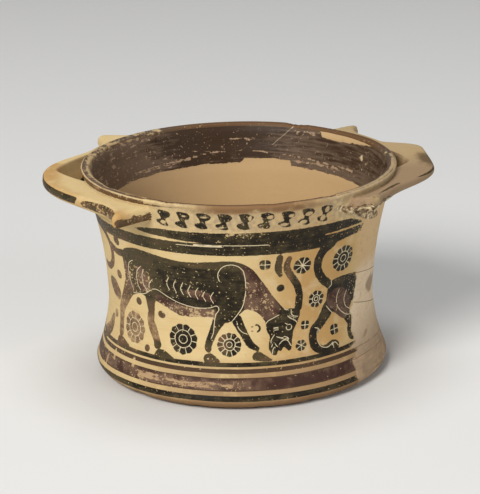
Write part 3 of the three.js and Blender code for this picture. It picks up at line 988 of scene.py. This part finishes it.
def relief(mesh):
    """Uneven hand-turned surface and chips. It only takes clay away, so the solid's box still holds it."""
    v = places(mesh)
    s, z = v.s, v.z
    angle = s / FRIEZE_RADIUS
    uneven = 0.5 + 0.25 * sum(ripples(angle, z, UNEVEN_WAVES))
    rings = 0.5 + 0.5 * np.sin(z * RING_RATE + RING_WAVER * np.sin(angle * RING_TURNS))
    rough = 0.75 + 0.25 * np.prod(ripples(s, z, CHIP_WAVES), axis=0)
    cut = UNEVEN_DEPTH * uneven * ~v.under
    cut += np.where(v.inside & (z > RINGS_FROM), RING_DEPTH * rings, 0)
    for s0, z0, wide, tall, deep in CHIPS:
        reach = np.hypot(wrapped(s - s0) / wide, (z - z0) / tall)
        cut += deep * rough * np.clip(1 - reach, 0, 1) ** CHIP_FADE * ~v.under
    mesh.vertices.foreach_set("co", ((v.at - v.normal * cut[:, None]) * MM).ravel())
    mesh.update()


# Material

def srgb(r, g, b):
    """A colour given as it looks on screen, 0 to 255, as the linear one that a shader takes."""
    parts = [c / 255 for c in (r, g, b)]
    return tuple(c / 12.92 if c <= 0.04045 else ((c + 0.055) / 1.055) ** 2.4 for c in parts) + (1.0,)


CLAY = srgb(207, 182, 132)
CLAY_WARM = srgb(184, 146, 92)
CLAY_PALE = srgb(218, 197, 156)
CLAY_BARE = srgb(130, 98, 66)
CLAY_LOW = srgb(158, 128, 92)
CLAY_DULL = srgb(166, 144, 114)
CLAY_INSIDE = srgb(186, 154, 112)
# Grey clay, also used as painted shade inside and on handle faces towards the gaps
CLAY_GREY_AND_SHADE = srgb(138, 113, 90)
FILL_TAN = srgb(208, 173, 133)
FILL_GREY = srgb(222, 200, 168)
FILL_LOW = srgb(160, 136, 110)
BLACK = srgb(30, 24, 14)
OLIVE = srgb(70, 60, 38)
BROWN = srgb(104, 78, 54)
FADED = srgb(176, 146, 106)
PURPLE_DEEP = srgb(66, 43, 34)
PURPLE_WORN = srgb(108, 84, 67)
PURPLE_GONE = srgb(166, 136, 104)
CUT = srgb(212, 196, 160)
INSIDE_DARK = srgb(60, 43, 29)
INSIDE_GREY = srgb(104, 86, 70)
INSIDE_FLECK = srgb(152, 128, 110)
BAND_BROWN = srgb(82, 60, 42)
LIP_BROWN = srgb(112, 80, 52)
LIP_GREY = srgb(92, 77, 68)
# Soot, also used as painted shade on handle faces towards the gaps
SOOT_AND_SHADE = srgb(88, 70, 50)
SCAR_DARK = srgb(108, 82, 58)

# Noise patterns: (scale, detail, roughness, how much flatter than wide, shift)
NOISES = {
    "fine": (1100, 3, 0.55, 1, 0), "grain": (420, 4, 0.55, 1, 0), "middle": (150, 4, 0.55, 1, 3),
    "broad": (26, 3, 0.55, 1, 7), "streak": (60, 4, 0.55, 12, 5), "flake": (420, 6, 0.66, 1, 11),
    "scrape": (170, 5, 0.6, 3.2, 13), "dust": (900, 2, 0.55, 1, 17), "drag": (130, 5, 0.62, 7, 19),
}

# Tints by pattern, for clay and for the fill: (pattern, where it starts, where it is full, share, colour)
CLAY_TINTS = [
    ("middle", 0.48, 0.8, 0.6, CLAY_PALE), ("streak", 0.5, 0.8, 0.35, CLAY_WARM),
    ("grain", 0.6, 0.8, 0.3, CLAY_BARE),
]
FILL_TINTS = [
    ("cloud", 0.44, 0.62, 0.4, FILL_TAN), ("grain", 0.58, 0.75, 0.5, CLAY_PALE),
    ("flake", 0.56, 0.7, 0.4, CLAY_GREY_AND_SHADE),
]

# Stains by vertex attribute, mottled: (attribute, pattern, where it starts, where it is full, colour)
STAINS = [
    ("dirt", "middle", 0.1, 0.5, CLAY_LOW), ("dull", "grain", 0.2, 0.75, CLAY_DULL),
    ("stain", "middle", 0.15, 0.55, CLAY_BARE),
]

# The dark paint's colours from dense to thin: (where one starts, where it is full, colour)
PAINT_TONES = [(0.05, 0.5, OLIVE), (0.5, 1, BROWN), (0.95, 1.5, FADED)]

# Soft edges, as (start, full): of paint, of specks in it, of cut lines and of joins, across and at their ends
PAINT_EDGE = (-0.16, 0.16)
SPECK = (0.71, 0.75)
CUT_EDGE = (0.1, 0.26)
CUT_ENDS = (0.75, 0.5)
JOIN_EDGE = (0.1, 0.3)
JOIN_ENDS = (0.9, 0.5)

# The pattern's value up to which paint is gone: without wear, what wear adds, and the soft edge
GONE_UNWORN = 0.2
GONE_BY_WEAR = 0.46
GONE_SOFT = 0.02

# Gloss and fine relief
SHINE = 0.16
BUMP_STRENGTH = 0.35
BUMP_DEPTH = 0.0004

# Heights, along the outside and on down the inside, where tones of fill and paint change: (start, full)
BAND_SPAN = 130
FOOT_BARE = (8.4, 5.4)
FILL_PALER = (10, 40)
FILL_SOFTER = (48, 62)
FILL_WARMER = (54, 64)
LIP_PAINT = (60, 61)
INSIDE_CLAY = (104.8, 105.4)
INSIDE_PAINT = (104.8, 105.6)


class Value:
    """A number or colour that a node gives. Plain arithmetic on it adds math nodes."""

    def __init__(self, nodes, socket):
        self.nodes = nodes
        self.socket = socket

    def __add__(self, other):
        return self.nodes.math("ADD", self, other)

    def __sub__(self, other):
        return self.nodes.math("SUBTRACT", self, other)

    def __rsub__(self, other):
        return self.nodes.math("SUBTRACT", other, self)

    def __mul__(self, other):
        return self.nodes.math("MULTIPLY", self, other)

    def __truediv__(self, other):
        return self.nodes.math("DIVIDE", self, other)

    def __abs__(self):
        return self.nodes.math("ABSOLUTE", self)


class Nodes:
    """Short calls for building a node tree. n["grain"] is the pattern or vertex attribute of that name."""

    def __init__(self, tree):
        self.tree = tree
        self.coords = self.add("ShaderNodeTexCoord").outputs["Object"]
        self.known = {name: self.noise(*numbers) for name, numbers in NOISES.items()}
        self.known["cloud"] = self["middle"] * 0.6 + self["streak"] * 0.4
        self.known["wobble"] = self["grain"] - 0.5 + (self["fine"] - 0.5) * 0.5

    def __getitem__(self, name):
        if name not in self.known:
            node = self.add("ShaderNodeAttribute", attribute_name=name)
            self.known[name] = Value(self, node.outputs["Fac"])
        return self.known[name]

    def add(self, kind, **settings):
        node = self.tree.nodes.new(kind)
        for name, value in settings.items():
            setattr(node, name, value)
        return node

    def put(self, socket, value):
        if isinstance(value, Value):
            self.tree.links.new(value.socket, socket)
        else:
            socket.default_value = value

    def math(self, operation, *values):
        node = self.add("ShaderNodeMath", operation=operation)
        for socket, value in zip(node.inputs, values):
            self.put(socket, value)
        return Value(self, node.outputs[0])

    def most(self, first, *others):
        for other in others:
            first = self.math("MAXIMUM", first, other)
        return first

    def mix(self, share, a, b):
        node = self.add("ShaderNodeMix", data_type="RGBA")
        for place, value in ((0, share), (6, a), (7, b)):
            self.put(node.inputs[place], value)
        return Value(self, node.outputs[2])

    def tinted(self, colour, tints):
        for name, low, high, share, tint in tints:
            colour = self.mix(self.step(self[name], low, high) * share, colour, tint)
        return colour

    def noise(self, scale, detail, rough, flatter, shift):
        place = self.add("ShaderNodeMapping")
        place.inputs["Scale"].default_value = (1, 1, flatter)
        place.inputs["Location"].default_value = (shift, shift, shift)
        self.tree.links.new(self.coords, place.inputs["Vector"])
        node = self.add("ShaderNodeTexNoise")
        self.tree.links.new(place.outputs[0], node.inputs["Vector"])
        for name, value in (("Scale", scale), ("Detail", detail), ("Roughness", rough)):
            node.inputs[name].default_value = value
        return Value(self, node.outputs["Fac"])

    def step(self, value, low, high):
        """0 below low and 1 above high, easing between them."""
        node = self.add("ShaderNodeMapRange", interpolation_type="SMOOTHSTEP")
        for name, number in (("Value", value), ("From Min", low), ("From Max", high)):
            self.put(node.inputs[name], number)
        return Value(self, node.outputs["Result"])

    def bands(self, level):
        """Level stripes as masks: black, brown and purple."""
        paints = {"black": (1, 0, 0, 1), "brown": (0, 1, 0, 1), "purple": (0, 0, 1, 1)}
        node = self.add("ShaderNodeValToRGB")
        ramp = node.color_ramp
        ramp.interpolation = "CONSTANT"
        ramp.elements.remove(ramp.elements[1])
        ramp.elements[0].color = (0, 0, 0, 1)
        for low, high, name in BANDS:
            ramp.elements.new(low / BAND_SPAN).color = paints[name]
            if not any(abs(high - other[0]) < 0.05 for other in BANDS):
                ramp.elements.new(high / BAND_SPAN).color = (0, 0, 0, 1)
        self.put(node.inputs["Fac"], level / BAND_SPAN)
        parts = self.add("ShaderNodeSeparateColor")
        self.tree.links.new(node.outputs["Color"], parts.inputs[0])
        return [Value(self, part) for part in parts.outputs]


def bare_clay(n, inside):
    """Bare clay, warmer and paler in patches, with wheel streaks, stains and a darker foot."""
    warmth = n["warm"] + (n["broad"] - 0.5) * 1.6
    clay = n.mix(n.step(warmth, 0, 1), CLAY, CLAY_WARM)
    clay = n.tinted(clay, CLAY_TINTS)
    clay = n.mix(inside * 0.85, clay, CLAY_INSIDE)
    # Grey tone, and painted shade inside to the left and on the left handle's faces towards its gap
    clay = n.mix(n["grey"] * (n.most(n["handle"], inside) * 0.55 + 0.3), clay, CLAY_GREY_AND_SHADE)
    # Soot on the right bow, and painted shade on the handles' faces towards their gaps near the wall
    soot = n.step(n["soot"] + (n["middle"] - 0.5) * 1.2, 0.1, 0.85)
    clay = n.mix(soot * 0.85, clay, SOOT_AND_SHADE)
    for name, pattern, low, high, colour in STAINS:
        clay = n.mix(n[name] * n.step(n[pattern], low, high), clay, colour)
    foot = n.step(n["height"] + n["middle"] * 3, *FOOT_BARE)
    return n.mix(foot * 0.85, clay, CLAY_BARE)


def fill_clay(n, clay, ragged):
    """The filled part of the wall, paler in its middle, with a purple blot."""
    plain = n.mix(n.step(n["height"], *FILL_PALER), FILL_LOW, FILL_GREY)
    plain = n.mix(n.step(n["height"], *FILL_WARMER), plain, n.mix(0.5, FILL_TAN, clay))
    plain = n.tinted(plain, FILL_TINTS)
    blot = n.step(n["blot"] + ragged * 0.7, -1, 2)
    return n.mix(blot * 0.6, plain, PURPLE_WORN)


def rosettes(n):
    """The nearest rosette, from the offset to its middle: how far inside it a place is, and its cut lines."""
    across, up, petals, ring = (n["rosette_" + name] for name in ("s", "z", "petals", "ring"))
    reach = n.math("SQRT", across * across + up * up) + (n["middle"] - 0.5) * 1.2
    turn = n.math("ARCTAN2", up, across) * petals
    notch = (1 - n.math("COSINE", turn)) / petals
    edge = n["rosette_size"] * (1 - notch * 0.32)
    close = n.step(n["rosette"], -1.4, -1.0)
    disc = edge - reach - (1 - close) * 50
    spoke = abs(n.math("COSINE", turn * 0.5)) * reach * 2 / petals + n.math("LESS_THAN", reach, ring) * FAR
    hoop = abs(reach - ring)
    heart = abs(reach - ring * 0.48) + n.math("LESS_THAN", ring, 0.5) * FAR
    line = n.math("MINIMUM", spoke, n.math("MINIMUM", hoop, heart)) + n["wobble"] * 0.3
    return disc, n.step(line, 0.24, 0.1) * n.step(disc, -0.3, 0)


def clay_material():
    material = bpy.data.materials.new("painted_clay")
    material.use_nodes = True
    tree = material.node_tree
    tree.nodes.clear()
    n = Nodes(tree)
    shader = n.add("ShaderNodeBsdfPrincipled")
    tree.links.new(shader.outputs[0], n.add("ShaderNodeOutputMaterial").inputs["Surface"])
    level, wear, thin = n["height"], n["wear"], n["thin"]
    grain, middle, streak, flake, drag = (n[name] for name in ("grain", "middle", "streak", "flake", "drag"))
    wobble = n["wobble"]
    inside = n["inside"] * n.step(level, *INSIDE_CLAY)

    # The clay and, with an uneven edge that is softer high up, the fill
    clay = bare_clay(n, inside)
    ragged = (middle - 0.5) * 7 + wobble * 1.5
    fill = n["fill"] + ragged
    filled = n.step(fill, -0.7, 0.7)
    softer = (n.step(fill, -6, 6) - filled) * n.step(level, *FILL_SOFTER)
    clay = n.mix(filled + softer, clay, fill_clay(n, clay, ragged))

    # Where dark paint lies and still holds
    disc, etched = rosettes(n)
    black_band, brown_band, purple_band = n.bands(level + (streak - 0.5) * 0.5)
    shape = n.most(n["dark"], disc) + (drag - 0.5) * 2.2 * inside
    drawn = n.step(shape + wobble * 0.8, *PAINT_EDGE)
    banded = n.most(black_band, brown_band, purple_band)
    painted = n.most(drawn, banded)
    bare = 1 - filled
    limit = wear * GONE_BY_WEAR + GONE_UNWORN
    flaked = flake * 0.62 + n["scrape"] * 0.38
    dragged = flake * 0.4 + drag * 0.6
    lasting = flaked + (dragged - flaked) * n.most(banded, inside * 0.8)
    speck = n.step(n["dust"] + wear * (inside * -0.12 + 0.2), *SPECK)
    holds = n.step(lasting, limit - GONE_SOFT, limit + GONE_SOFT) * (1 - speck)
    cover = painted * holds * bare

    # Its colour, and the stain that it leaves where it is gone
    thinned = n.step(lasting, limit, limit + 0.12)
    tone = (n["cloud"] - 0.45) * 1.5 + thin + (grain - 0.5) * 0.5 + (1 - thinned) * 0.3
    colour = BLACK
    for low, high, tint in PAINT_TONES:
        colour = n.mix(n.step(tone, low, high), colour, tint)
    lip_colour = n.mix(n["grey"], LIP_BROWN, LIP_GREY)
    band_colour = n.mix(n.step(level, *LIP_PAINT), BAND_BROWN, lip_colour)
    colour = n.mix(n.step(brown_band, 0.2, 0.8) * 0.75, colour, band_colour)
    purpled = n.most(n.step(n["purple"] + wobble * 1.6, -0.3, 0.3), purple_band)
    purple = n.mix(n.step(middle + wear * 0.5, 0.5, 0.85), PURPLE_DEEP, PURPLE_WORN)
    colour = n.mix(purpled, colour, purple)
    greyed = middle * 0.3 + streak * 0.7 + (thin - 0.5) * 0.6
    within = n.mix(n.step(greyed, 0.36, 0.64), INSIDE_DARK, INSIDE_GREY)
    colour = n.mix(n.step(level, *INSIDE_PAINT), colour, within)
    colour = n.mix(cover, clay, colour)
    gone = painted * bare * (1 - holds)
    left_over = n.mix(inside, n.mix(purpled, BROWN, PURPLE_GONE), INSIDE_FLECK)
    colour = n.mix(gone * (n.most(purpled, inside) * 0.5 + 0.2), colour, left_over)

    # Lines cut through the paint, hairline joins and broken clay
    thread = (1 - n.step(abs(n["cut"] + wobble * 0.3), *CUT_EDGE)) * n.step(n["cut_near"], *CUT_ENDS)
    thread = n.most(thread, etched) * n.step(n["scrape"] + grain, 0.72, 0.86)
    thread = thread * painted * bare * (1 - inside * 0.65)
    colour = n.mix(thread, colour, CUT)
    join = (1 - n.step(abs(n["crack"]), *JOIN_EDGE)) * n.step(n["crack_near"], *JOIN_ENDS)
    colour = n.mix(join * 0.8, colour, CLAY_BARE)
    scar = n.step(n["scar"] + wobble * 2, -0.4, 0.4)
    raw = n.mix(n.step(grain, 0.42, 0.64), SCAR_DARK, CLAY_PALE)
    n.put(shader.inputs["Base Color"], n.mix(scar, colour, raw))

    n.put(shader.inputs["Roughness"], cover * -0.3 + 0.8 + (grain - 0.5) * 0.25)
    shader.inputs["Specular IOR Level"].default_value = SHINE
    bump = n.add("ShaderNodeBump")
    bump.inputs["Strength"].default_value = BUMP_STRENGTH
    bump.inputs["Distance"].default_value = BUMP_DEPTH
    height = grain * 0.5 + n["fine"] * 0.35 + cover * 0.25 - thread * 0.5 + scar * middle * 2
    n.put(bump.inputs["Height"], height)
    tree.links.new(bump.outputs[0], shader.inputs["Normal"])
    return material


# Studio

FLOOR_HALF = 4.0
FLOOR_PALE = srgb(226, 226, 225)
SKY = srgb(206, 207, 210)
SKY_STRENGTH = 0.2
LIGHT_AIM = (0, 0, 0.05)
LIGHT_SIZE = 1.4
LIGHT_SPREAD = 130

# (name, place, watts, colour)
LIGHTS = [
    ("key", (-1.5, -2.0, 2.0), 48, (1.0, 0.98, 0.95)),
    ("top", (0.0, 0.5, 2.6), 12, (1.0, 1.0, 0.99)),
    ("fill", (1.6, -1.6, 1.0), 7, (0.96, 0.98, 1.0)),
]


def make_floor():
    corners = [(-1, -1, 0), (1, -1, 0), (1, 1, 0), (-1, 1, 0)]
    floor = bpy.data.meshes.new("floor")
    floor.from_pydata([Vector(corner) * FLOOR_HALF for corner in corners], [], [(0, 1, 2, 3)])
    obj = new_object("floor", floor)
    material = bpy.data.materials.new("pale_floor")
    material.use_nodes = True
    shader = material.node_tree.nodes["Principled BSDF"]
    shader.inputs["Base Color"].default_value = FLOOR_PALE
    shader.inputs["Roughness"].default_value = 0.55
    obj.data.materials.append(material)


def area_light(name, place, watts, colour):
    light = bpy.data.lights.new(name, "AREA")
    light.shape = "DISK"
    light.size = LIGHT_SIZE
    light.energy = watts
    light.color = colour
    light.spread = math.radians(LIGHT_SPREAD)
    obj = new_object(name, light)
    obj.location = place
    obj.rotation_euler = (Vector(LIGHT_AIM) - Vector(place)).to_track_quat("-Z", "Y").to_euler()


def make_world():
    world = bpy.data.worlds.new("studio")
    world.use_nodes = True
    sky = world.node_tree.nodes["Background"]
    sky.inputs["Color"].default_value = SKY
    sky.inputs["Strength"].default_value = SKY_STRENGTH
    bpy.context.scene.world = world
    bpy.context.scene.view_settings.view_transform = "Standard"


def make_camera():
    camera = bpy.data.cameras.new("camera")
    camera.lens = LENS
    camera.sensor_width = SENSOR
    camera.dof.use_dof = False
    obj = new_object("camera", camera)
    elevation = math.radians(VIEW_ELEVATION)
    level = math.cos(elevation)
    out = Vector((level * math.cos(FRONT_ANGLE), level * math.sin(FRONT_ANGLE), math.sin(elevation)))
    aim = Vector((0, 0, VIEW_AIM * MM))
    turn = out.to_track_quat("Z", "Y").to_matrix().to_4x4()
    roll = Matrix.Rotation(math.radians(VIEW_ROLL), 4, "Z")
    obj.matrix_world = Matrix.Translation(aim + out * VIEW_DISTANCE * MM) @ turn @ roll
    bpy.context.scene.camera = obj


vessel = make_vessel()
smooth_seams(vessel)
paint(vessel.data)
relief(vessel.data)
vessel.data.shade_smooth()
vessel.data.set_sharp_from_angle(angle=math.radians(SHARP_FROM))
vessel.data.materials.clear()
vessel.data.materials.append(clay_material())
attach(vessel, "root")
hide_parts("vessel")

make_floor()
for light in LIGHTS:
    area_light(*light)
make_world()
make_camera()
